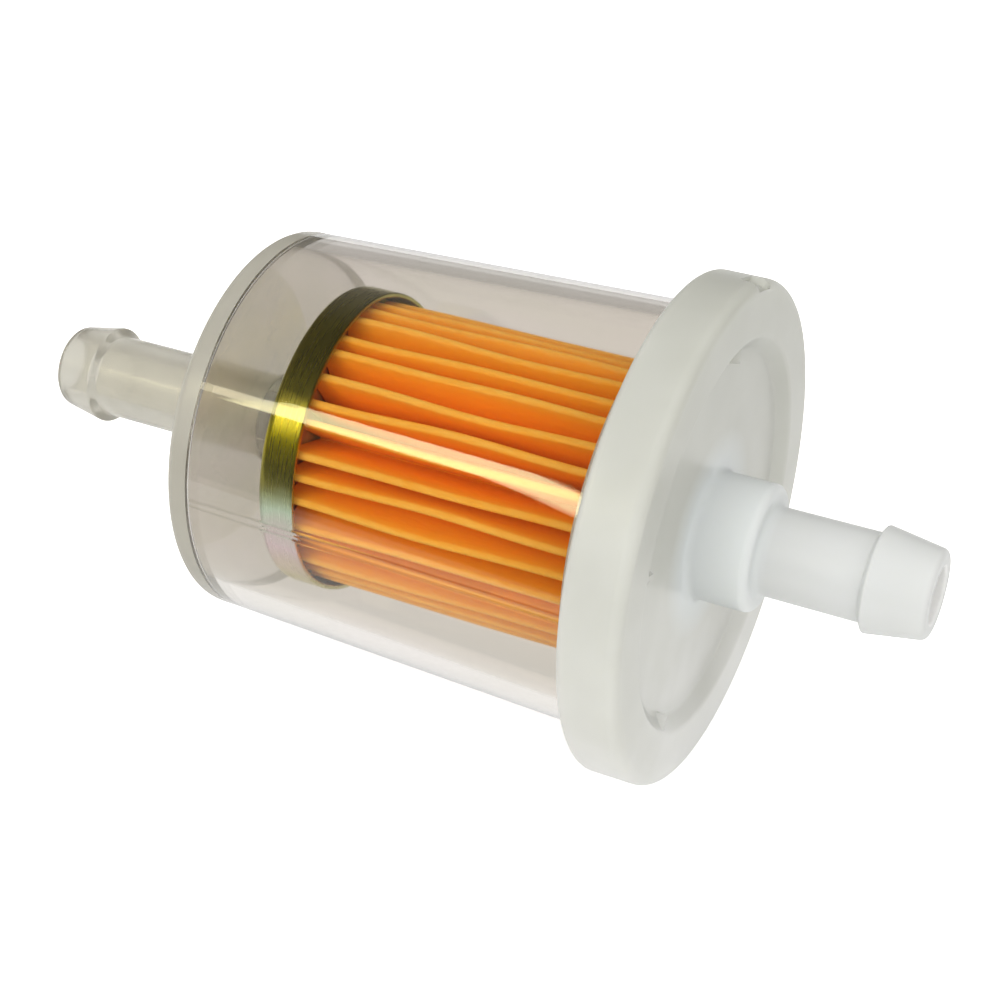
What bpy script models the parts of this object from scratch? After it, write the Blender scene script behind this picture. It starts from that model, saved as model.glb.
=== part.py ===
"""In-line fuel filter for a small engine, modelled as the separate pieces it is assembled from.

A clear bowl with a hose nipple is closed by a milky flanged cap with a second nipple.
Inside, a pleated paper element stands on the cap, carried by a slotted centre tube and
closed at its far end by a plated steel cup.

Units are metres. The flow axis is +X, from the inlet nipple to the outlet nipple, and the
origin is the centre of the bounding box, on that axis. Blender 4.5.
"""

import math

import bmesh
import bpy

MM = 0.001

# Driving dimensions -------------------------------------------------------------------
LENGTH = 79.4 * MM                  # tip of one nipple to tip of the other
FLANGE_DIAMETER = 41.0 * MM
FLANGE_THICKNESS = 4.9 * MM
OUTLET_REACH = 17.5 * MM            # outlet nipple tip, measured from the flange's front
BOWL_LENGTH = 36.3 * MM             # visible length of the bowl, up to the flange
BOWL_RIM_DIAMETER = 35.2 * MM
BOWL_END_DIAMETER = 32.8 * MM       # smaller than the rim: the mould's draft
WALL = 1.5 * MM
BORE_DIAMETER = 4.4 * MM
STEM_DIAMETER = 7.2 * MM            # takes a fuel hose of 1/4 inch bore
BARB_DIAMETER = 8.6 * MM
PLEAT_COUNT = 36
ELEMENT_DIAMETER = 24.2 * MM        # over the pleat tips, at the middle of the paper
ELEMENT_BORE = 14.0 * MM            # inside the pleat roots
GAP = 0.3 * MM                      # left between pieces that touch on the real filter

TURN_STEPS = 40                     # facets round every turned piece

# Stations along X, worked out from the dimensions above ---------------------------------
OUTLET_TIP = LENGTH / 2
INLET_TIP = -LENGTH / 2
FLANGE_FRONT = OUTLET_TIP - OUTLET_REACH
FLANGE_BACK = FLANGE_FRONT - FLANGE_THICKNESS
BOWL_END = FLANGE_BACK - BOWL_LENGTH

FLANGE_R = FLANGE_DIAMETER / 2
BOWL_RIM_R = BOWL_RIM_DIAMETER / 2
BOWL_END_R = BOWL_END_DIAMETER / 2
BORE_R = BORE_DIAMETER / 2
STEM_R = STEM_DIAMETER / 2
BARB_R = BARB_DIAMETER / 2
ELEMENT_R = ELEMENT_DIAMETER / 2
ELEMENT_BORE_R = ELEMENT_BORE / 2

# Nipple details, shared by both ends
INLET_BARB = 4.0 * MM               # length of each barb's cone
OUTLET_BARB = 4.8 * MM
BARB_STEP = 0.4 * MM
TIP_R = 3.55 * MM
TIP_ROUND = 0.5 * MM

# Cap details
RIM_ROUND = 0.7 * MM
RECESS_R = 15.8 * MM
RECESS_DEPTH = 1.0 * MM
HUB_R = 5.2 * MM
HUB_FRONT = FLANGE_FRONT + 4.0 * MM
HUB_ROUND = 0.7 * MM
HUB_HOLLOW_R = 3.9 * MM
HUB_HOLLOW_END = FLANGE_FRONT + 1.2 * MM
GROOVE_DEPTH = 2.0 * MM             # the bowl's rim is welded into this groove
PLUG_LENGTH = 1.6 * MM
PLUG_WALL = 1.3 * MM
TROUGH_DEPTH = 0.6 * MM             # below the flange's back face, for the potting
SPIGOT_R = 5.2 * MM
SPIGOT_LENGTH = 4.5 * MM

# Element details
CUP_WALL = 0.4 * MM
CUP_LENGTH = 3.3 * MM
CUP_ROUND = 0.7 * MM
CUP_BACK = FLANGE_BACK - 29.5 * MM
POTTING = 1.0 * MM
PAPER = 0.28 * MM
FOLD_R = 0.20 * MM                  # bend radius of the paper's middle surface
FOLD_STEPS = 3
CLEAR_BORE_R = ELEMENT_BORE_R - PAPER / 2 - GAP

# Centre tube details
TUBE_WALL = 0.8 * MM
TUBE_RIBS = 6
TUBE_BAYS = 4
TUBE_RIB_WIDTH = 2.2 * MM
TUBE_RING_WIDTH = 1.6 * MM
TUBE_STEPS_PER_BAY = 4


# Helpers --------------------------------------------------------------------------------
def clear_scene():
    for obj in list(bpy.data.objects):
        bpy.data.objects.remove(obj, do_unlink=True)


def make_material(name, colour, roughness, metallic=0.0, transmission=0.0):
    material = bpy.data.materials.new(name)
    material.use_nodes = True
    shader = material.node_tree.nodes["Principled BSDF"]
    shader.inputs["Base Color"].default_value = (*colour, 1.0)
    shader.inputs["Roughness"].default_value = roughness
    shader.inputs["Metallic"].default_value = metallic
    shader.inputs["Transmission Weight"].default_value = transmission
    return material


def arc(centre, radius, start, end, steps):
    """Points (x, r) on an arc about centre, with angles in degrees from +x towards +r."""
    points = []
    for i in range(steps + 1):
        angle = math.radians(start + (end - start) * i / steps)
        points.append((centre[0] + radius * math.cos(angle), centre[1] + radius * math.sin(angle)))
    return points


def finish_mesh(name, bm, material):
    bmesh.ops.recalc_face_normals(bm, faces=bm.faces)
    mesh = bpy.data.meshes.new(name)
    bm.to_mesh(mesh)
    bm.free()
    mesh.materials.append(material)
    mesh.shade_smooth()
    mesh.set_sharp_from_angle(angle=math.radians(35))
    obj = bpy.data.objects.new(name, mesh)
    bpy.context.scene.collection.objects.link(obj)
    return obj


def turned(name, section, material):
    """A solid of revolution about X. The section is a loop of (x, r), or runs from axis to axis."""
    bm = bmesh.new()
    verts = [bm.verts.new((x, 0.0, r)) for x, r in section]
    starts_on_axis = section[0][1] == 0.0
    ends = verts[1:] if starts_on_axis else verts[1:] + verts[:1]
    edges = [bm.edges.new(pair) for pair in zip(verts, ends)]
    bmesh.ops.spin(
        bm, geom=verts + edges, cent=(0, 0, 0), axis=(1, 0, 0),
        angle=math.tau, steps=TURN_STEPS, use_merge=True,
    )
    bmesh.ops.remove_doubles(bm, verts=bm.verts, dist=1e-7)
    bmesh.ops.dissolve_degenerate(bm, edges=bm.edges, dist=1e-7)
    return finish_mesh(name, bm, material)


def nipple(tip, root, barb, side):
    """The outside of a barbed nipple from its tip's bore to its root. side is +1 when it points to +X."""
    barb_back = tip - side * barb
    return [
        (tip, BORE_R),
        (tip, TIP_R - TIP_ROUND),
        (tip - side * 0.3 * TIP_ROUND, TIP_R - 0.3 * TIP_ROUND),
        (tip - side * TIP_ROUND, TIP_R),
        (barb_back, BARB_R),
        (barb_back - side * BARB_STEP, STEM_R),
        (root, STEM_R),
    ]


# Pieces ---------------------------------------------------------------------------------
def bowl_inner_r(x):
    """Inside radius of the bowl at x: the outside follows the draft, and the wall is even."""
    share = (x - BOWL_END) / BOWL_LENGTH
    return BOWL_END_R + (BOWL_RIM_R - BOWL_END_R) * share - WALL


def build_bowl(material):
    """Clear cup with the inlet nipple: one moulding, open towards the cap."""
    corner = 0.8 * MM
    inner_corner = 0.8 * MM
    root_fillet = 0.5 * MM
    rim = FLANGE_BACK + GROOVE_DEPTH - GAP
    inner_end = BOWL_END + WALL
    section = nipple(INLET_TIP, BOWL_END - root_fillet, INLET_BARB, -1)
    section += arc((BOWL_END - root_fillet, STEM_R + root_fillet), root_fillet, -90, 0, 2)[1:]
    section += arc((BOWL_END + corner, BOWL_END_R - corner), corner, 180, 90, 4)
    section += [
        (rim, BOWL_RIM_R),
        (rim, BOWL_RIM_R - WALL),
        (FLANGE_BACK, BOWL_RIM_R - WALL),
    ]
    inside = bowl_inner_r(inner_end) - inner_corner
    section += arc((inner_end + inner_corner, inside), inner_corner, 90, 180, 3)
    section += [(inner_end, BORE_R + 0.4 * MM), (inner_end - 0.4 * MM, BORE_R)]
    return turned("bowl", section, material)


def build_cap(material):
    """Milky cap: flange, recessed face, hollow hub and outlet nipple, with a plug and a spigot inside."""
    root_fillet = 0.6 * MM
    recess = FLANGE_FRONT - RECESS_DEPTH
    groove_outer = BOWL_RIM_R + GAP
    groove_inner = BOWL_RIM_R - WALL - GAP
    trough = FLANGE_BACK + TROUGH_DEPTH
    section = nipple(OUTLET_TIP, HUB_FRONT + root_fillet, OUTLET_BARB, 1)
    section += arc((HUB_FRONT + root_fillet, STEM_R + root_fillet), root_fillet, 270, 180, 2)[1:]
    section += arc((HUB_FRONT - HUB_ROUND, HUB_R - HUB_ROUND), HUB_ROUND, 0, 90, 3)
    section += arc((recess + root_fillet, HUB_R + root_fillet), root_fillet, 270, 180, 2)
    section += [
        (recess, RECESS_R - 0.5 * MM),
        (recess + 0.5 * MM, RECESS_R),
        (FLANGE_FRONT, RECESS_R + 0.3 * MM),
    ]
    section += arc((FLANGE_FRONT - RIM_ROUND, FLANGE_R - RIM_ROUND), RIM_ROUND, 0, 90, 4)
    section += arc((FLANGE_BACK + RIM_ROUND, FLANGE_R - RIM_ROUND), RIM_ROUND, 90, 180, 4)
    section += [
        (FLANGE_BACK, groove_outer),
        (FLANGE_BACK + GROOVE_DEPTH, groove_outer),
        (FLANGE_BACK + GROOVE_DEPTH, groove_inner),
        (FLANGE_BACK - PLUG_LENGTH + 0.4 * MM, groove_inner),
        (FLANGE_BACK - PLUG_LENGTH, groove_inner - 0.4 * MM),
        (FLANGE_BACK - PLUG_LENGTH, groove_inner - PLUG_WALL),
        (trough, groove_inner - PLUG_WALL),
        (trough, SPIGOT_R),
        (FLANGE_BACK - SPIGOT_LENGTH, SPIGOT_R),
        (FLANGE_BACK - SPIGOT_LENGTH, HUB_HOLLOW_R),
        (HUB_HOLLOW_END, HUB_HOLLOW_R),
        (HUB_HOLLOW_END + 0.8 * MM, BORE_R),
    ]
    return turned("outlet_cap", section, material)


def build_closed_end_cup(material):
    """Pressed steel cup that closes the element's inlet end."""
    outer = ELEMENT_R + PAPER / 2 + GAP + CUP_WALL
    mouth = CUP_BACK + CUP_LENGTH
    section = [(CUP_BACK, 0.0)]
    section += arc((CUP_BACK + CUP_ROUND, outer - CUP_ROUND), CUP_ROUND, 180, 90, 4)
    section += [(mouth, outer), (mouth, outer - CUP_WALL)]
    inner_round = CUP_ROUND - CUP_WALL
    section += arc((CUP_BACK + CUP_ROUND, outer - CUP_ROUND), inner_round, 90, 180, 3)
    section += [(CUP_BACK + CUP_WALL, 0.0)]
    return turned("closed_end_cup", section, material)


def build_potting(name, back, inner_r, outer_r, material):
    """A flat ring or disc of adhesive that the pleats are set in."""
    front = back + POTTING
    if inner_r == 0.0:
        section = [(back, 0.0), (back, outer_r), (front, outer_r), (front, 0.0)]
    else:
        section = [(back, inner_r), (back, outer_r), (front, outer_r), (front, inner_r)]
    return turned(name, section, material)


def pleat_wall(offset):
    """One face of the paper as a loop of (y, z): offset is measured outwards from its middle.

    Each pleat is two straight flanks between a fold at the tip and a fold at the root.
    """
    pitch = math.tau / PLEAT_COUNT
    tip_r, root_r = ELEMENT_R - FOLD_R, ELEMENT_BORE_R + FOLD_R
    tip_bend, root_bend = FOLD_R + offset, FOLD_R - offset
    # Direction of a flank, from a root centre to the neighbouring tip centre
    half = pitch / 2
    dx = tip_r - root_r * math.cos(half)
    dy = root_r * math.sin(half)
    lean = math.atan2(dy, dx) + math.asin(2 * FOLD_R / math.hypot(dx, dy))
    sweep = math.pi / 2 - lean
    loop = []
    for k in range(PLEAT_COUNT):
        for centre_r, bend, middle, turn in (
            (tip_r, tip_bend, k * pitch, 1),
            (root_r, root_bend, (k + 0.5) * pitch, -1),
        ):
            cy, cz = centre_r * math.cos(middle), centre_r * math.sin(middle)
            facing = middle if turn > 0 else middle + math.pi
            for i in range(FOLD_STEPS + 1):
                angle = facing + turn * sweep * (2 * i / FOLD_STEPS - 1)
                loop.append((cy + bend * math.cos(angle), cz + bend * math.sin(angle)))
    return loop


def build_pleats(back, front, material):
    """The paper: one sheet of even thickness, folded into a closed ring of pleats."""
    bm = bmesh.new()
    rings = []
    for x in (back, front):
        for offset in (PAPER / 2, -PAPER / 2):
            rings.append([bm.verts.new((x, y, z)) for y, z in pleat_wall(offset)])
    outer_back, inner_back, outer_front, inner_front = rings
    count = len(outer_back)
    for first, second in (
        (outer_back, outer_front), (outer_front, inner_front),
        (inner_front, inner_back), (inner_back, outer_back),
    ):
        for i in range(count):
            j = (i + 1) % count
            bm.faces.new((first[i], first[j], second[j], second[i]))
    return finish_mesh("pleated_element", bm, material)


def build_centre_tube(back, front, material):
    """Moulded cage that keeps the pleats from folding inwards: ribs and rings with windows between."""
    radius = CLEAR_BORE_R - TUBE_WALL / 2
    rib_angle = TUBE_RIB_WIDTH / radius
    bay_angle = math.tau / TUBE_RIBS - rib_angle
    angles, window_columns = [], []
    for k in range(TUBE_RIBS):
        start = k * math.tau / TUBE_RIBS
        angles.append(start)
        for i in range(TUBE_STEPS_PER_BAY):
            window_columns.append(len(angles))
            angles.append(start + rib_angle + bay_angle * i / TUBE_STEPS_PER_BAY)
    window_length = (front - back - TUBE_RING_WIDTH * (TUBE_BAYS + 1)) / TUBE_BAYS
    stations, window_rows = [back], []
    for _ in range(TUBE_BAYS):
        stations.append(stations[-1] + TUBE_RING_WIDTH)
        window_rows.append(len(stations) - 1)
        stations.append(stations[-1] + window_length)
    stations.append(front)
    bm = bmesh.new()
    grid = [
        [bm.verts.new((x, radius * math.cos(a), radius * math.sin(a))) for a in angles]
        for x in stations
    ]
    for row in range(len(stations) - 1):
        for column in range(len(angles)):
            if row in window_rows and column in window_columns:
                continue
            after = (column + 1) % len(angles)
            bm.faces.new(
                (grid[row][column], grid[row][after], grid[row + 1][after], grid[row + 1][column])
            )
    tube = finish_mesh("centre_tube", bm, material)
    wall = tube.modifiers.new("Wall", "SOLIDIFY")
    wall.thickness = TUBE_WALL
    wall.offset = 0.0
    wall.use_even_offset = True
    return tube


def build_seam(back, front, material):
    """Bead of glue that joins the sheet's two ends, between two pleat tips at the back."""
    pitch = math.tau / PLEAT_COUNT
    middle = pitch / 2
    outer_r, inner_r = ELEMENT_R - 0.2 * MM, ELEMENT_R - 1.7 * MM
    half_width = {outer_r: 0.50 * MM, inner_r: 0.28 * MM}
    across = (-math.sin(middle), math.cos(middle))
    corners = []
    for r in (outer_r, inner_r):
        for side in (1, -1):
            shift = side * half_width[r]
            corners.append((
                r * math.cos(middle) + shift * across[0],
                r * math.sin(middle) + shift * across[1],
            ))
    loop = [corners[0], corners[1], corners[3], corners[2]]
    bm = bmesh.new()
    face = bm.faces.new([bm.verts.new((back, y, z)) for y, z in loop])
    made = bmesh.ops.extrude_face_region(bm, geom=[face])
    moved = [item for item in made["geom"] if isinstance(item, bmesh.types.BMVert)]
    bmesh.ops.translate(bm, verts=moved, vec=(front - back, 0, 0))
    return finish_mesh("seam_bead", bm, material)


def main():
    clear_scene()
    clear = make_material("clear_nylon", (0.80, 0.77, 0.70), 0.08, transmission=0.9)
    milky = make_material("milky_nylon", (0.80, 0.81, 0.77), 0.32)
    plated = make_material("yellow_zinc", (0.62, 0.58, 0.22), 0.28, metallic=1.0)
    paper = make_material("filter_paper", (0.86, 0.45, 0.07), 0.75)
    adhesive = make_material("potting", (0.72, 0.52, 0.25), 0.45)
    core = make_material("core_plastic", (0.78, 0.78, 0.74), 0.45)

    build_bowl(clear)
    build_cap(milky)
    build_closed_end_cup(plated)

    potting_r = ELEMENT_R + PAPER / 2
    closed_potting = CUP_BACK + CUP_WALL + GAP
    open_potting = FLANGE_BACK + TROUGH_DEPTH - GAP - POTTING
    build_potting("closed_end_potting", closed_potting, 0.0, potting_r - CUP_ROUND, adhesive)
    build_potting("open_end_potting", open_potting, SPIGOT_R + GAP, potting_r, adhesive)

    paper_back = closed_potting + POTTING + GAP
    paper_front = open_potting - GAP
    build_pleats(paper_back, paper_front, paper)
    build_centre_tube(paper_back, paper_front, core)
    build_seam(paper_back + CUP_LENGTH, paper_front, adhesive)


main()
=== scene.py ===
import math

import bmesh
import bpy
from mathutils import Matrix, Vector


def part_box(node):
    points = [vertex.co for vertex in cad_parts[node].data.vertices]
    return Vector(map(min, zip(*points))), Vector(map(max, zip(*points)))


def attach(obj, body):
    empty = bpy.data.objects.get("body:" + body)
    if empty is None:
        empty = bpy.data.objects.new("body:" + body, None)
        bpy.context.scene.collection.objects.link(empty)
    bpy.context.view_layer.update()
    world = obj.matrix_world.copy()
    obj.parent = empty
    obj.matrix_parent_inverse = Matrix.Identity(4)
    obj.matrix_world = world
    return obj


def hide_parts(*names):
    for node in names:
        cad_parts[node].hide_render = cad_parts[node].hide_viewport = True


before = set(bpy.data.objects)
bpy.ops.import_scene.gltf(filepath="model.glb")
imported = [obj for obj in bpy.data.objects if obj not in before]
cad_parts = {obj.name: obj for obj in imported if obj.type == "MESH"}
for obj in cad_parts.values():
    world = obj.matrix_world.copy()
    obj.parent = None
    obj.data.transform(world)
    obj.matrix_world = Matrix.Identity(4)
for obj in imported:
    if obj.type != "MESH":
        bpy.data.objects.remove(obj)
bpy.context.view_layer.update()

# The looks of a small in-line fuel filter. Metres, +X along the flow, +Z up.
MM = 0.001

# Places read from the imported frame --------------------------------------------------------
bowl_low, bowl_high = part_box("bowl")
cap_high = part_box("outlet_cap")[1]
cup_low, cup_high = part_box("closed_end_cup")
paper_low, paper_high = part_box("pleated_element")

INLET_TIP = bowl_low.x
OUTLET_TIP = cap_high.x
FLANGE_R = cap_high.z
BOWL_RIM_R = bowl_high.z
BOWL_RIM_X = bowl_high.x
CUP_R = cup_high.z
PAPER_TIP_R = paper_high.y

FLANGE_FRONT = OUTLET_TIP - 17.5 * MM
FLANGE_BACK = FLANGE_FRONT - 4.9 * MM
BOWL_END = FLANGE_BACK - 36.3 * MM
BOWL_END_R = BOWL_RIM_R - 1.2 * MM
WALL = 1.5 * MM
BORE_R = 2.2 * MM
STEM_R = 3.6 * MM
BARB_R = 4.3 * MM
TIP_R = 3.55 * MM
BARB_STEP = 0.4 * MM
INLET_BARB = 4.0 * MM
OUTLET_BARB = 4.8 * MM
HUB_R = 5.2 * MM
HUB_FRONT = FLANGE_FRONT + 4.0 * MM
HUB_HOLLOW_R = 3.9 * MM
HUB_HOLLOW_END = FLANGE_FRONT + 1.2 * MM
RECESS_DEPTH = 1.0 * MM
RECESS_FLOOR_R = 14.9 * MM
RECESS_MOUTH_R = 16.1 * MM
SPIGOT_R = 5.2 * MM
SPIGOT_END = FLANGE_BACK - 4.5 * MM
PLUG_END = FLANGE_BACK - 1.6 * MM
GROOVE_END = FLANGE_BACK + 2.0 * MM
TROUGH = FLANGE_BACK + 0.6 * MM
GAP = 0.3 * MM
PLUG_WALL = 1.3 * MM
CUP_WALL = 0.4 * MM

PLEATS = 36
PAPER = 0.27 * MM
FOLD_R = 0.19 * MM
FOLD_ROOM = 0.12 * MM       # left free outside the folds' tips, so that they can wander
PLEAT_ROOT_R = 7.0 * MM

TURN_STEPS = 240
ARC_STEPS = 6
FOLD_STEPS = 6
PAPER_STATIONS = 28
HOLD = 0.06 * MM            # from a long straight's ends to the extra points that keep it flat
STEP = 0.05 * MM            # between the two section points at a sharp step
STRAIGHT_HALF = 88          # degrees. A corner with a larger half angle is too flat to be rounded
SHARP = 32                  # degrees. Faces that meet at less shade smoothly
PAPER_SHARP = 50


# Mesh helpers -----------------------------------------------------------------------------
def rounded(corners):
    """A closed section from its corners, a list of (x, r, fillet radius)."""
    section = []
    for i, (x, r, fillet) in enumerate(corners):
        here = Vector((x, r))
        if fillet == 0:
            section.append((x, r))
            continue
        before = (Vector(corners[i - 1][:2]) - here).normalized()
        after = (Vector(corners[(i + 1) % len(corners)][:2]) - here).normalized()
        half = math.acos(max(-1.0, min(1.0, before.dot(after)))) / 2
        if half > math.radians(STRAIGHT_HALF):
            section.append((x, r))
            continue
        centre = here + (before + after).normalized() * fillet / math.sin(half)
        start = here + before * fillet / math.tan(half) - centre
        end = here + after * fillet / math.tan(half) - centre
        turn = start.angle_signed(end)
        for k in range(ARC_STEPS + 1):
            angle = -turn * k / ARC_STEPS
            c, s = math.cos(angle), math.sin(angle)
            section.append((centre.x + c * start.x - s * start.y, centre.y + s * start.x + c * start.y))
    return held(section)


def held(outline):
    """A closed outline with a point just inside both ends of every long straight, so that it shades flat."""
    points = []
    for i, start in enumerate(outline):
        end = outline[(i + 1) % len(outline)]
        points.append(start)
        run = math.dist(start, end)
        on_axis = start[1] == 0.0 and end[1] == 0.0
        if run < 8 * HOLD or on_axis:
            continue
        for t in (HOLD / run, 1 - HOLD / run):
            points.append((start[0] + (end[0] - start[0]) * t, start[1] + (end[1] - start[1]) * t))
    return points


def finish_mesh(name, bm, sharp=SHARP):
    bmesh.ops.recalc_face_normals(bm, faces=bm.faces)
    mesh = bpy.data.meshes.new(name)
    bm.to_mesh(mesh)
    bm.free()
    mesh.shade_smooth()
    mesh.set_sharp_from_angle(angle=math.radians(sharp))
    piece = bpy.data.objects.new(name, mesh)
    bpy.context.scene.collection.objects.link(piece)
    return piece


def lathe(name, section, shape=None):
    """Turns a section about X. It closes on itself, or on the axis where it starts and ends at r = 0.

    Angles start at +Z and go towards -Y. shape(x, r, angle) may move a point.
    """
    solid = section[0][1] == 0.0
    inner = section[1:-1] if solid else section
    bm = bmesh.new()
    rings = []
    for j in range(TURN_STEPS):
        angle = math.tau * j / TURN_STEPS
        ring = []
        for x, r in inner:
            if shape:
                x, r = shape(x, r, angle)
            ring.append(bm.verts.new((x, -r * math.sin(angle), r * math.cos(angle))))
        rings.append(ring)
    spans = len(inner) - 1 if solid else len(inner)
    poles = []
    if solid:
        poles = [bm.verts.new((section[0][0], 0, 0)), bm.verts.new((section[-1][0], 0, 0))]
    for j in range(TURN_STEPS):
        this, after = rings[j], rings[(j + 1) % TURN_STEPS]
        for i in range(spans):
            k = (i + 1) % len(inner)
            bm.faces.new((this[i], after[i], after[k], this[k]))
        if solid:
            bm.faces.new((poles[0], after[0], this[0]))
            bm.faces.new((poles[1], this[-1], after[-1]))
    return finish_mesh(name, bm)


def settle(piece, material, slot, *cad_nodes):
    """Gives a piece its material and ties it to the frame."""
    piece.data.materials.clear()
    piece.data.materials.append(material)
    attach(piece, "root")
    if cad_nodes:
        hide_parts(*cad_nodes)
    return piece


# Material helpers -------------------------------------------------------------------------
def new_material(name, **values):
    material = bpy.data.materials.new(name)
    material.use_nodes = True
    tree = material.node_tree
    shader = tree.nodes["Principled BSDF"]
    for key, value in values.items():
        shader.inputs[key.replace("_", " ")].default_value = value
    return material, tree, shader


def node(tree, kind, inputs, **settings):
    """A new node. An input takes a value, or a socket to link from."""
    made = tree.nodes.new(kind)
    for key, value in settings.items():
        setattr(made, key, value)
    for key, value in inputs.items():
        if isinstance(value, bpy.types.NodeSocket):
            tree.links.new(value, made.inputs[key])
        else:
            made.inputs[key].default_value = value
    return made


def coords(tree, stretch=(1, 1, 1)):
    place = tree.nodes.new("ShaderNodeTexCoord").outputs["Object"]
    return node(tree, "ShaderNodeMapping", {"Vector": place, "Scale": stretch}).outputs["Vector"]


def noise(tree, size, detail, stretch=(1, 1, 1), distortion=0.0):
    """Noise from 0 to 1 whose features are about size across."""
    inputs = {
        "Vector": coords(tree, stretch),
        "Scale": 1 / size,
        "Detail": detail,
        "Distortion": distortion,
    }
    return node(tree, "ShaderNodeTexNoise", inputs).outputs["Fac"]


def ramp(tree, factor, *stops):
    """A colour ramp over (position, (r, g, b)) stops."""
    made = node(tree, "ShaderNodeValToRGB", {"Fac": factor})
    elements = made.color_ramp.elements
    while len(elements) < len(stops):
        elements.new(0.5)
    for element, (position, colour) in zip(elements, stops):
        element.position = position
        element.color = (*colour, 1.0)
    return made.outputs["Color"]


def remap(tree, value, low, high, out_low, out_high):
    inputs = {"Value": value, "From Min": low, "From Max": high, "To Min": out_low, "To Max": out_high}
    return node(tree, "ShaderNodeMapRange", inputs).outputs["Result"]


def math_node(tree, operation, a, b):
    made = tree.nodes.new("ShaderNodeMath")
    made.operation = operation
    for socket, value in zip(made.inputs, (a, b)):
        if isinstance(value, bpy.types.NodeSocket):
            tree.links.new(value, socket)
        else:
            socket.default_value = value
    return made.outputs[0]


def blend(tree, factor, first, second):
    """A colour between two colours. Each may be a socket or a (r, g, b) value."""
    made = node(tree, "ShaderNodeMix", {"Factor": factor}, data_type="RGBA")
    for socket, colour in zip((made.inputs["A"], made.inputs["B"]), (first, second)):
        if isinstance(colour, bpy.types.NodeSocket):
            tree.links.new(colour, socket)
        else:
            socket.default_value = (*colour, 1.0)
    return made.outputs["Result"]


def bump(tree, shader, height, distance, strength):
    made = node(tree, "ShaderNodeBump", {"Height": height, "Distance": distance, "Strength": strength})
    tree.links.new(made.outputs["Normal"], shader.inputs["Normal"])


def radius_from_axis(tree):
    """Distance from the flow axis, as a value socket."""
    flat = coords(tree, (0, 1, 1))
    made = node(tree, "ShaderNodeVectorMath", {0: flat}, operation="LENGTH")
    return made.outputs["Value"]


# Materials --------------------------------------------------------------------------------
# Painted light: the hub and the recess floor round it are painted lighter than the flange
HUB_PAINTED_LIGHT = (0.77, 0.81, 0.81)
# Painted glow: the bore's inside is painted nearly white
BORE_PAINTED_GLOW = (0.97, 0.98, 0.97)
SIDE_LINE_COLOUR = (0.66, 0.64, 0.56)
SIDE_LINE_Z = -0.35 * MM
SIDE_LINE_HALF_WIDTH = 0.2 * MM
SIDE_LINE_HEIGHT = 3.5        # times the height of the bowl's flow marks
SIDE_LINE_FADE = 0.9 * MM     # over which the line ends towards the axis, so that only the side has it


def clear_nylon():
    """Warm grey clear plastic with faint flow marks from the mould."""
    material, tree, shader = new_material("clear_nylon", Transmission_Weight=1.0, IOR=1.50)
    clouds = noise(tree, 9 * MM, 1.0, (0.6, 1, 1))
    colour = ramp(
        tree, clouds, (0.3, (0.90, 0.865, 0.80)), (0.5, (0.92, 0.88, 0.82)), (0.7, (0.94, 0.89, 0.85))
    )
    # A fine darker line with a slight ridge along the bowl's side, front and back
    split = node(tree, "ShaderNodeSeparateXYZ", {"Vector": coords(tree)})
    from_line = math_node(tree, "ABSOLUTE", math_node(tree, "SUBTRACT", split.outputs["Z"], SIDE_LINE_Z), 0.0)
    side_r = BOWL_END_R - WALL
    on_side = remap(tree, radius_from_axis(tree), side_r - SIDE_LINE_FADE, side_r, 0.0, 1.0)
    line = math_node(tree, "MULTIPLY", on_side, remap(tree, from_line, 0.0, SIDE_LINE_HALF_WIDTH, 1.0, 0.0))
    tree.links.new(blend(tree, line, colour, SIDE_LINE_COLOUR), shader.inputs["Base Color"])
    haze = noise(tree, 5 * MM, 1.0)
    tree.links.new(remap(tree, haze, 0.2, 0.8, 0.03, 0.05), shader.inputs["Roughness"])
    flow = noise(tree, 10 * MM, 0.0, (0.35, 1, 1))
    height = math_node(tree, "ADD", flow, math_node(tree, "MULTIPLY", line, SIDE_LINE_HEIGHT))
    bump(tree, shader, height, 0.04 * MM, 0.2)
    return material


def cloudy_nylon(name, clear, thin, thick):
    """The same plastic where it is thick for its size: light scatters in it on its way through."""
    material, tree, shader = new_material(name, Transmission_Weight=clear, IOR=1.40)
    haze = noise(tree, 4 * MM, 1.5)
    tree.links.new(ramp(tree, haze, (0.3, thin), (0.7, thick)), shader.inputs["Base Color"])
    tree.links.new(remap(tree, haze, 0.2, 0.8, 0.20, 0.25), shader.inputs["Roughness"])
    bump(tree, shader, noise(tree, 6 * MM, 0.0), 0.05 * MM, 0.3)
    return material


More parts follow.
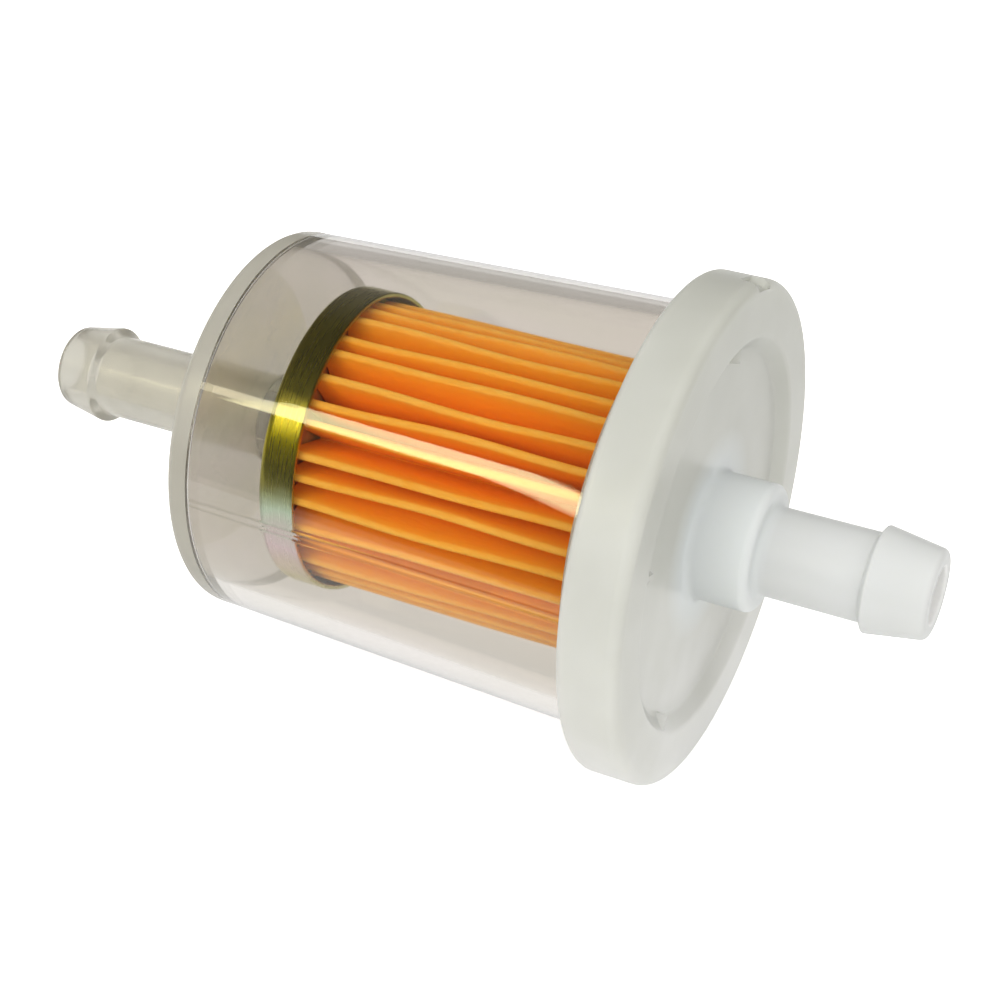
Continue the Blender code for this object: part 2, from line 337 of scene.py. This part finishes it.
def milky_nylon():
    """Natural nylon: white to look at, and light goes some way into it. Its colour holds painted light and
    shade, set out below.
    """
    material, tree, shader = new_material(
        "milky_nylon", Subsurface_Weight=0.4, Subsurface_Scale=3.2 * MM, IOR=1.5
    )
    shader.inputs["Subsurface Radius"].default_value = (1.0, 1.0, 0.9)
    split = node(tree, "ShaderNodeSeparateXYZ", {"Vector": coords(tree)})
    clouds = remap(tree, noise(tree, 7 * MM, 2.0), 0.2, 0.8, -0.15, 0.15)
    # Painted light and shade: the flange is lighter towards the bottom and darker towards the top, broken by
    # random clouds
    height = math_node(tree, "ADD", clouds, remap(tree, split.outputs["Z"], -FLANGE_R, FLANGE_R, 0.0, 1.0))
    flange = ramp(
        tree, height,
        (0.0, (0.80, 0.81, 0.79)), (0.35, (0.67, 0.68, 0.64)), (1.0, (0.545, 0.555, 0.505)),
    )
    # Partly painted light: the nipple is the same nylon, painted evenly and a little lighter for the glow
    # through its thin wall
    nipple_painted_glow = ramp(tree, height, (0.3, (0.70, 0.72, 0.72)), (0.7, (0.68, 0.70, 0.69)))
    forward = remap(tree, split.outputs["X"], HUB_FRONT - 0.5 * MM, HUB_FRONT + 1.0 * MM, 0.0, 1.0)
    from_axis = radius_from_axis(tree)
    # Painted light on the hub and the recess floor round it, for the glow through the thin nylon and against
    # the shade beside the hub
    hub_painted_light_mask = remap(tree, from_axis, HUB_R + 0.3 * MM, HUB_R + 3.5 * MM, 1.0, 0.0)
    body = blend(tree, hub_painted_light_mask, flange, HUB_PAINTED_LIGHT)
    outside = blend(tree, forward, body, nipple_painted_glow)
    # Painted glow in the bore, for light that comes through its thin walls
    bore_painted_glow_mask = remap(tree, from_axis, BORE_R + 0.05 * MM, BORE_R + 0.3 * MM, 1.0, 0.0)
    tree.links.new(blend(tree, bore_painted_glow_mask, outside, BORE_PAINTED_GLOW), shader.inputs["Base Color"])
    grain = noise(tree, 3 * MM, 1.0)
    tree.links.new(remap(tree, grain, 0.2, 0.8, 0.29, 0.35), shader.inputs["Roughness"])
    bump(tree, shader, noise(tree, 9 * MM, 0.0), 0.10 * MM, 0.3)
    return material


def filter_paper():
    """Orange resin-treated paper, fibrous. Painted light and shade: lighter and yellower on the folds' tips,
    darker and redder down the valleys.
    """
    material, tree, shader = new_material("filter_paper", IOR=1.45)
    shader.inputs["Specular IOR Level"].default_value = 0.25
    fibres = noise(tree, 0.4 * MM, 2.0, (0.35, 1, 1), 0.4)
    # Painted light and shade: darker and redder deep in the folds, lighter and yellower towards their tips
    fold_painted_shade = remap(tree, radius_from_axis(tree), PAPER_TIP_R - 1.2 * MM, PAPER_TIP_R, -0.1, 0.7)
    mixed = math_node(tree, "ADD", fold_painted_shade, math_node(tree, "MULTIPLY", fibres, 0.5))
    colour = ramp(
        tree, mixed,
        (0.10, (0.94, 0.34, 0.020)), (0.60, (0.96, 0.40, 0.028)), (0.95, (0.99, 0.52, 0.085)),
    )
    tree.links.new(colour, shader.inputs["Base Color"])
    tree.links.new(remap(tree, fibres, 0.3, 0.7, 0.55, 0.8), shader.inputs["Roughness"])
    bump(tree, shader, fibres, 0.08 * MM, 0.8)
    return material


def yellow_zinc():
    """Pressed steel with yellow zinc and drawn lines round it. Its colour runs in bands by height, partly
    painted reflection.
    """
    material, tree, shader = new_material("yellow_zinc", Metallic=1.0)
    split = node(tree, "ShaderNodeSeparateXYZ", {"Vector": coords(tree)})
    height = remap(tree, split.outputs["Z"], -CUP_R, CUP_R, 0.0, 1.0)
    patches = remap(tree, noise(tree, 5 * MM, 2.0), 0.3, 0.7, -0.03, 0.03)
    # Partly painted reflection: the bands follow the heights at which the cup mirrors the room, a bright
    # yellow band where the window shows, dark bands above and below it, lilac and green where the pale floor
    # shows. The tints themselves are the zinc's own.
    colour = ramp(
        tree, math_node(tree, "ADD", height, patches),
        (0.18, (0.50, 0.46, 0.20)), (0.34, (0.74, 0.62, 0.70)), (0.47, (0.56, 0.74, 0.60)),
        (0.56, (0.40, 0.40, 0.14)), (0.70, (0.82, 0.73, 0.035)), (0.82, (0.40, 0.37, 0.08)),
    )
    tree.links.new(colour, shader.inputs["Base Color"])
    lines = noise(tree, 0.9 * MM, 4.0, (8, 0.25, 0.25))
    tree.links.new(remap(tree, lines, 0.3, 0.7, 0.24, 0.34), shader.inputs["Roughness"])
    bump(tree, shader, lines, 0.02 * MM, 0.6)
    return material


def potting():
    """Cured amber adhesive with small bubbles and a slightly wavy skin."""
    material, tree, shader = new_material("potting", Subsurface_Weight=0.4, Subsurface_Scale=0.6 * MM)
    patches = noise(tree, 1.5 * MM, 4.0)
    colour = ramp(tree, patches, (0.3, (0.55, 0.30, 0.08)), (0.7, (0.78, 0.52, 0.20)))
    tree.links.new(colour, shader.inputs["Base Color"])
    tree.links.new(remap(tree, patches, 0.3, 0.7, 0.25, 0.5), shader.inputs["Roughness"])
    bump(tree, shader, noise(tree, 0.8 * MM, 3.0), 0.06 * MM, 0.7)
    return material


def core_plastic():
    """Plain natural plastic of the hidden centre tube."""
    material, tree, shader = new_material("core_plastic", Subsurface_Weight=0.5, Subsurface_Scale=1 * MM)
    grain = noise(tree, 1.0 * MM, 5.0)
    colour = ramp(tree, grain, (0.3, (0.70, 0.69, 0.62)), (0.7, (0.80, 0.79, 0.73)))
    tree.links.new(colour, shader.inputs["Base Color"])
    tree.links.new(remap(tree, grain, 0.3, 0.7, 0.35, 0.55), shader.inputs["Roughness"])
    bump(tree, shader, grain, 0.03 * MM, 0.5)
    return material


# Pieces -----------------------------------------------------------------------------------
def nipple(tip, root, barb, side):
    """Corners down the outside of a barbed nipple, from the bore's mouth to its root."""
    barb_back = tip - side * barb
    return [
        (tip, BORE_R, 0.25 * MM),
        (tip, TIP_R, 0.55 * MM),
        (barb_back, BARB_R, 0.25 * MM),
        (barb_back - side * BARB_STEP, STEM_R, 0.25 * MM),
        (root, STEM_R, 0.6 * MM),
    ]


CLOUDY_OVERLAP = 0.5 * MM   # how far the cloudy corner goes on past the end wall
CORNER_ROUND = 0.5 * MM     # this much of the corner's rounding is cloudy corner, the rest is end wall
NIPPLE_GAP = 0.1 * MM       # from the end wall to the first faces that count as nipple
FACING_FORWARD = 0.3        # a face's normal.x, below which it does not face the cap


def build_bowl():
    inner_end = BOWL_END + WALL
    cloudy_to = inner_end + CLOUDY_OVERLAP
    draft = (BOWL_RIM_R - BOWL_END_R) / (BOWL_RIM_X - BOWL_END)
    corners = nipple(INLET_TIP, BOWL_END, INLET_BARB, -1)
    corners += [
        (BOWL_END, BOWL_END_R, 0.8 * MM),
        (cloudy_to, BOWL_END_R + draft * (cloudy_to - BOWL_END), 0),
        (BOWL_RIM_X, BOWL_RIM_R, 0.2 * MM),
        (BOWL_RIM_X, BOWL_RIM_R - WALL, 0.2 * MM),
        (FLANGE_BACK, BOWL_RIM_R - WALL, 0),
        (inner_end, BOWL_END_R - WALL, 0.4 * MM),
        (inner_end, BORE_R, 0.4 * MM),
    ]
    piece = lathe("bowl_shell", rounded(corners))
    # Its shadow would be as dark as a solid's, and would darken the paper inside
    piece.visible_shadow = False
    settle(piece, clear_nylon(), "clear_nylon", "bowl")
    # The nipple, the end wall and the thick corner look cloudier than the bowl's side
    piece.data.materials.append(cloudy_nylon("cloudy_nipple", 0.75, (0.75, 0.73, 0.65), (0.79, 0.77, 0.69)))
    piece.data.materials.append(cloudy_nylon("cloudy_end", 0.65, (0.83, 0.80, 0.72), (0.89, 0.85, 0.78)))
    # Painted shade: the thick corner's copy is darker, for the dark band that the corner shows
    piece.data.materials.append(cloudy_nylon("cloudy_corner_painted_shade", 0.40, (0.61, 0.59, 0.51), (0.65, 0.63, 0.55)))
    for face in piece.data.polygons:
        x, from_axis = face.center.x, math.hypot(face.center.y, face.center.z)
        if x < BOWL_END - NIPPLE_GAP:
            face.material_index = 1
        elif x < cloudy_to and from_axis > BOWL_END_R - CORNER_ROUND:
            face.material_index = 3
        elif x < inner_end - STEP and face.normal.x < FACING_FORWARD:
            face.material_index = 2


RIB_ANGLES = (-3.0, 76.0, 147.0, -110.0)    # small ribs across the recess's edge
RIB_HALF_WIDTH = 0.35 * MM
RIB_START_R = RECESS_FLOOR_R - 0.3 * MM
GATE_ANGLE = -13.0                          # scar of the mould's gate, on the flange's rim
GATE_HALF_WIDTH = 1.0 * MM
GATE_DEPTH = 0.5 * MM
GATE_START = FLANGE_BACK + 3.2 * MM


def cap_details(x, r, angle):
    """Raises the ribs in the recess and cuts the gate's scar into the rim."""
    def off_by(degrees):
        turn = (angle - math.radians(degrees) + math.pi) % math.tau - math.pi
        return abs(turn) * r

    in_recess = FLANGE_FRONT - RECESS_DEPTH - STEP / 2 < x < FLANGE_FRONT - 0.2 * MM
    if in_recess and RIB_START_R - STEP / 2 < r < RECESS_MOUTH_R + 0.3 * MM:
        if min(off_by(a) for a in RIB_ANGLES) < RIB_HALF_WIDTH:
            x = FLANGE_FRONT - 0.2 * MM
    on_rim = r > FLANGE_R - 0.5 * MM and GATE_START + STEP / 2 < x
    if on_rim and off_by(GATE_ANGLE) < GATE_HALF_WIDTH:
        r -= GATE_DEPTH
    return x, r


def build_cap():
    recess = FLANGE_FRONT - RECESS_DEPTH
    groove_outer = BOWL_RIM_R + GAP
    groove_inner = BOWL_RIM_R - WALL - GAP
    plug_inner = groove_inner - PLUG_WALL
    corners = nipple(OUTLET_TIP, HUB_FRONT, OUTLET_BARB, 1)
    corners += [
        (HUB_FRONT, HUB_R, 0.7 * MM),
        (recess, HUB_R, 0.7 * MM),
        (recess, RIB_START_R - STEP, 0),
        (recess, RIB_START_R, 0),
        (recess, RECESS_FLOOR_R, 0.6 * MM),
        (FLANGE_FRONT, RECESS_MOUTH_R, 0.7 * MM),
        (FLANGE_FRONT, FLANGE_R, 0.9 * MM),
        (GATE_START + STEP, FLANGE_R, 0),
        (GATE_START, FLANGE_R, 0),
        (FLANGE_BACK, FLANGE_R, 0.6 * MM),
        (FLANGE_BACK, groove_outer, 0.2 * MM),
        (GROOVE_END, groove_outer, 0.2 * MM),
        (GROOVE_END, groove_inner, 0.2 * MM),
        (PLUG_END, groove_inner, 0.4 * MM),
        (PLUG_END, plug_inner, 0.3 * MM),
        (TROUGH, plug_inner, 0.3 * MM),
        (TROUGH, SPIGOT_R, 0.2 * MM),
        (SPIGOT_END, SPIGOT_R, 0.3 * MM),
        (SPIGOT_END, HUB_HOLLOW_R, 0.3 * MM),
        (HUB_HOLLOW_END, HUB_HOLLOW_R, 0.3 * MM),
        (HUB_HOLLOW_END + 0.8 * MM, BORE_R, 0.3 * MM),
    ]
    piece = lathe("flanged_cap", rounded(corners), shape=cap_details)
    settle(piece, milky_nylon(), "milky_nylon", "outlet_cap")


def build_cup():
    corners = [
        (cup_low.x, CUP_R, 0.7 * MM),
        (cup_high.x, CUP_R, 0.12 * MM),
        (cup_high.x, CUP_R - CUP_WALL, 0.12 * MM),
        (cup_low.x + CUP_WALL, CUP_R - CUP_WALL, 0.3 * MM),
    ]
    # The section runs from axis to axis, so its first and last corners are on the axis
    closed = rounded([(cup_low.x, 0.0, 0), *corners, (cup_low.x + CUP_WALL, 0.0, 0)])
    piece = lathe("steel_cup", closed)
    settle(piece, yellow_zinc(), "yellow_zinc", "closed_end_cup")


GOLDEN_ANGLE = 2.399        # radians. Keeps neighbouring pleats' waves out of step
TIP_SWAY = 0.022            # radians that a fold's tip swings along its length
TIP_SHIFT = 0.014           # radians that a whole fold stands out of place
TIP_RISE = 0.10 * MM        # in and out along a fold's tip
FREE_START = 0.15           # where on a half wave the steel cup's end is; the cap's end is on 1


def wander(k, along, size, seed):
    """A slow wave along pleat k, so that no two folds run quite the same way. along goes from 0 to 1."""
    phase = seed + GOLDEN_ANGLE * k
    wave = math.sin(phase + 3.1 * along) + 0.6 * math.sin(1.7 * phase + 7.3 * along)
    return size * wave / 1.6


def pleat_loop(offset, along):
    """One face of the folded sheet as (y, z) points. offset is measured outwards from its middle.

    along goes from 0 at the steel cup to 1 at the cap.
    """
    pitch = math.tau / PLEATS
    tip_r = PAPER_TIP_R - PAPER / 2 - FOLD_R - FOLD_ROOM
    root_r = PLEAT_ROOT_R + FOLD_R
    half = pitch / 2
    dx = tip_r - root_r * math.cos(half)
    dy = root_r * math.sin(half)
    lean = math.atan2(dy, dx) + math.asin(2 * FOLD_R / math.hypot(dx, dy))
    sweep = math.pi / 2 - lean
    # The folds sway most in the middle, about half as much at the cup, and not at all at the cap
    free = math.sin(math.pi * (FREE_START + (1 - FREE_START) * along))
    loop = []
    for k in range(PLEATS):
        tip_angle = k * pitch + wander(k, along, TIP_SWAY, 0.3) * free + wander(k, 0.5, TIP_SHIFT, 5.0)
        tip_rise = wander(k, along, TIP_RISE, 1.9) * free
        for centre_r, bend, middle, turn in (
            (tip_r + tip_rise, FOLD_R + offset, tip_angle, 1),
            (root_r, FOLD_R - offset, (k + 0.5) * pitch, -1),
        ):
            cy, cz = centre_r * math.cos(middle), centre_r * math.sin(middle)
            facing = middle if turn > 0 else middle + math.pi
            for i in range(FOLD_STEPS + 1):
                angle = facing + turn * sweep * (2 * i / FOLD_STEPS - 1)
                loop.append((cy + bend * math.cos(angle), cz + bend * math.sin(angle)))
    return held(loop)


def build_paper():
    bm = bmesh.new()
    outer, inner = [], []
    for j in range(PAPER_STATIONS + 1):
        along = j / PAPER_STATIONS
        x = paper_low.x + (paper_high.x - paper_low.x) * along
        outer.append([bm.verts.new((x, y, z)) for y, z in pleat_loop(PAPER / 2, along)])
        inner.append([bm.verts.new((x, y, z)) for y, z in pleat_loop(-PAPER / 2, along)])
    count = len(outer[0])
    rows = list(zip(outer, outer[1:])) + list(zip(inner[1:], inner))
    rows += [(inner[0], outer[0]), (outer[-1], inner[-1])]
    for first, second in rows:
        for i in range(count):
            j = (i + 1) % count
            bm.faces.new((first[i], first[j], second[j], second[i]))
    piece = finish_mesh("pleated_paper", bm, PAPER_SHARP)
    return settle(piece, filter_paper(), "filter_paper", "pleated_element")


def dress_cad_nodes():
    """The hidden pieces keep their CAD shapes and get real materials."""
    adhesive, plastic = potting(), core_plastic()
    for name, material in (
        ("closed_end_potting", adhesive), ("open_end_potting", adhesive),
        ("seam_bead", adhesive), ("centre_tube", plastic),
    ):
        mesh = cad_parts[name].data
        mesh.materials.clear()
        mesh.materials.append(material)


# Stage ------------------------------------------------------------------------------------
FLOOR_SIZE = 4.0
FLOOR_GAP = 0.05 * MM       # between the filter and the floor
FLOOR_GLOW = 0.8            # added where the camera sees the floor directly
SHEET_EDGE = -58 * MM       # the white sheet under the filter ends here, as mirrored by the bowl
SHEET_BLUR = 1 * MM
SHEET_BRIGHT = 0.95         # mirrored brightness on the sheet
SHEET_DARK = 0.06           # mirrored brightness in front of it
SEEN_THROUGH = 0.78         # brightness of the floor behind clear plastic

WORLD_LIGHT = 0.58
WORLD_DIMMING = 0.52        # taken off where the world is mirrored
WORLD_BEHIND = 0.5          # given back for what is behind the filter, mirrored inside the bowl's wall
WORLD_BEYOND = 0.5          # added where the camera looks past the floor's end

WINDOW_Y = -300             # in mm, like the points of the window's edge


def light_path(tree, name):
    return tree.nodes.new("ShaderNodeLightPath").outputs[name]


def mirrored(tree):
    """1 for light that some shiny surface has mirrored on its way to the camera, 0 for the rest."""
    return math_node(tree, "GREATER_THAN", light_path(tree, "Glossy Depth"), 0.5)


def build_floor():
    """Pale floor through the two lines that the filter rests on: the flange's rim and the bowl's end."""
    slope = (FLANGE_R - BOWL_END_R) / (FLANGE_BACK - BOWL_END)
    mesh = bpy.data.meshes.new("floor")
    half = FLOOR_SIZE / 2
    height = -FLANGE_R - FLOOR_GAP
    corners = [(sx * half, sy * half) for sx, sy in ((-1, -1), (1, -1), (1, 1), (-1, 1))]
    points = [(x, y, height - slope * (x - FLANGE_BACK)) for x, y in corners]
    mesh.from_pydata(points, [], [(0, 1, 2, 3)])
    floor = bpy.data.objects.new("floor", mesh)
    bpy.context.scene.collection.objects.link(floor)
    material = bpy.data.materials.new("pale_floor")
    material.use_nodes = True
    tree = material.node_tree
    shader = tree.nodes["Principled BSDF"]
    shader.inputs["Base Color"].default_value = (0.9, 0.9, 0.89, 1)
    shader.inputs["Roughness"].default_value = 0.9
    shader.inputs["Specular IOR Level"].default_value = 0.0
    seen = math_node(tree, "MULTIPLY", light_path(tree, "Is Camera Ray"), FLOOR_GLOW)
    shader.inputs["Emission Color"].default_value = (1, 1, 0.99, 1)
    tree.links.new(seen, shader.inputs["Emission Strength"])
    split = node(tree, "ShaderNodeSeparateXYZ", {"Vector": coords(tree)})
    edge = (SHEET_EDGE - SHEET_BLUR, SHEET_EDGE + SHEET_BLUR)
    sheet = remap(tree, split.outputs["Y"], *edge, SHEET_DARK, SHEET_BRIGHT)
    through = math_node(tree, "MULTIPLY", math_node(tree, "SUBTRACT", 1.0, mirrored(tree)), SEEN_THROUGH)
    strength = math_node(tree, "ADD", through, math_node(tree, "MULTIPLY", mirrored(tree), sheet))
    glow = node(tree, "ShaderNodeEmission", {"Strength": strength})
    mixed = node(tree, "ShaderNodeMixShader", {
        0: light_path(tree, "Is Glossy Ray"), 1: shader.outputs[0], 2: glow.outputs[0],
    })
    tree.links.new(mixed.outputs[0], tree.nodes["Material Output"].inputs["Surface"])
    floor.data.materials.append(material)


def build_world():
    """Even warm light, dim where it is mirrored."""
    world = bpy.data.worlds.new("studio")
    bpy.context.scene.world = world
    world.use_nodes = True
    tree = world.node_tree
    background = tree.nodes["Background"]
    background.inputs["Color"].default_value = (1.0, 0.97, 0.93, 1)
    direction = tree.nodes.new("ShaderNodeTexCoord").outputs["Generated"]
    split = node(tree, "ShaderNodeSeparateXYZ", {"Vector": direction})
    behind = remap(tree, split.outputs["Y"], 0.1, 0.5, 0.0, WORLD_BEHIND)
    # Light that is mirrored inside the bowl's wall goes through the wall's surface twice
    in_wall = math_node(tree, "COMPARE", light_path(tree, "Transmission Depth"), 2.0)
    from_behind = math_node(tree, "MULTIPLY", in_wall, behind)
    dimming = math_node(tree, "SUBTRACT", WORLD_DIMMING, from_behind)
    taken_off = math_node(tree, "MULTIPLY", mirrored(tree), dimming)
    strength = math_node(tree, "SUBTRACT", WORLD_LIGHT, taken_off)
    beyond = math_node(tree, "MULTIPLY", light_path(tree, "Is Camera Ray"), WORLD_BEYOND)
    tree.links.new(math_node(tree, "ADD", strength, beyond), background.inputs["Strength"])


def area_light(name, place, size, radiance):
    """A rectangular light facing the origin, hidden from mirrored rays and from rays through plastic.

    radiance is its brightness, whatever its size.
    """
    data = bpy.data.lights.new(name, "AREA")
    data.shape = "RECTANGLE"
    data.size, data.size_y = size
    data.energy = radiance * math.pi * size[0] * size[1]
    light = bpy.data.objects.new(name, data)
    back = Vector(place).normalized()
    side = Vector((0, 0, 1)).cross(back).normalized()
    axes = Matrix((side, back.cross(side), back)).transposed()
    light.matrix_world = Matrix.Translation(place) @ axes.to_4x4()
    light.visible_glossy = False
    light.visible_transmission = False
    bpy.context.scene.collection.objects.link(light)
    return light


def strip_material(name, radiance, colour):
    material = bpy.data.materials.new(name)
    material.use_nodes = True
    tree = material.node_tree
    glow = node(tree, "ShaderNodeEmission", {"Color": (*colour, 1.0), "Strength": radiance})
    tree.links.new(glow.outputs[0], tree.nodes["Material Output"].inputs["Surface"])
    return material


def build_window():
    """A long narrow window in front of the filter. Only shiny surfaces show it, as one bright line.

    It is a row of strips between stations of (x, z, half height), dim in the first and bright in the rest.
    """
    stations = (
        (-470, 288, 16), (-246, 222, 16), (-246, 222, 31), (-152, 193, 31),
        (-134, 170.5, 28), (-114, 136.5, 23),
    )
    bm = bmesh.new()
    rows = []
    for x, z, half in stations:
        rows.append([bm.verts.new(Vector((x, WINDOW_Y, z + side * half)) * MM) for side in (-1, 1)])
    for i, (this, after) in enumerate(zip(rows, rows[1:])):
        # Two stations at the same x make a step in height and have no strip between them
        if this[0].co.x < after[0].co.x:
            face = bm.faces.new((this[0], after[0], after[1], this[1]))
            face.material_index = 0 if i == 0 else 1
    window = finish_mesh("window", bm)
    window.data.materials.append(strip_material("window_dim", 4.6, (1.0, 0.93, 0.66)))
    window.data.materials.append(strip_material("window_bright", 8.2, (1.0, 0.95, 0.55)))
    window.visible_camera = False
    window.visible_diffuse = False
    window.visible_shadow = False


def build_lights(paper):
    area_light("overhead", place=(0.05, -0.10, 0.55), size=(0.6, 0.5), radiance=1.15)
    area_light("front", place=(-0.12, -0.53, 0.27), size=(0.4, 0.4), radiance=2.3)
    area_light("right", place=(0.45, -0.25, 0.12), size=(0.4, 0.4), radiance=0.95)
    # Stands in for the light that the clear bowl gathers on the paper. It lights nothing else
    glow = area_light("paper_glow", place=(0.10, -0.42, 0.26), size=(0.9, 0.9), radiance=3.5)
    lit = bpy.data.collections.new("lit_by_paper_glow")
    lit.objects.link(paper)
    glow.light_linking.receiver_collection = lit


# Camera -----------------------------------------------------------------------------------
CAMERA_AZIMUTH = 25.16
CAMERA_ELEVATION = 28.42
CAMERA_ROLL = 2.68
CAMERA_DISTANCE = 159.9 * MM
CAMERA_TARGET = Vector((2.9 * MM, 0.0, -2.05 * MM))
CAMERA_LENS = 69.4
CAMERA_SENSOR = 36
CAMERA_CLIP = 5 * MM


def build_camera():
    azimuth, elevation = math.radians(CAMERA_AZIMUTH), math.radians(CAMERA_ELEVATION)
    back = Vector((
        math.sin(azimuth) * math.cos(elevation),
        -math.cos(azimuth) * math.cos(elevation),
        math.sin(elevation),
    ))
    right = Vector((math.cos(azimuth), math.sin(azimuth), 0))
    frame_axes = Matrix((right, back.cross(right), back)).transposed()
    roll = Matrix.Rotation(math.radians(CAMERA_ROLL), 3, "Z")
    data = bpy.data.cameras.new("camera")
    data.lens = CAMERA_LENS
    data.sensor_width = CAMERA_SENSOR
    data.clip_start = CAMERA_CLIP
    camera = bpy.data.objects.new("camera", data)
    place = CAMERA_TARGET + back * CAMERA_DISTANCE
    camera.matrix_world = Matrix.Translation(place) @ (frame_axes @ roll).to_4x4()
    bpy.context.scene.collection.objects.link(camera)
    bpy.context.scene.camera = camera


build_bowl()
build_cap()
build_cup()
pleats = build_paper()
dress_cad_nodes()
build_floor()
build_world()
build_window()
build_lights(pleats)
build_camera()
bpy.context.scene.view_settings.view_transform = "Standard"
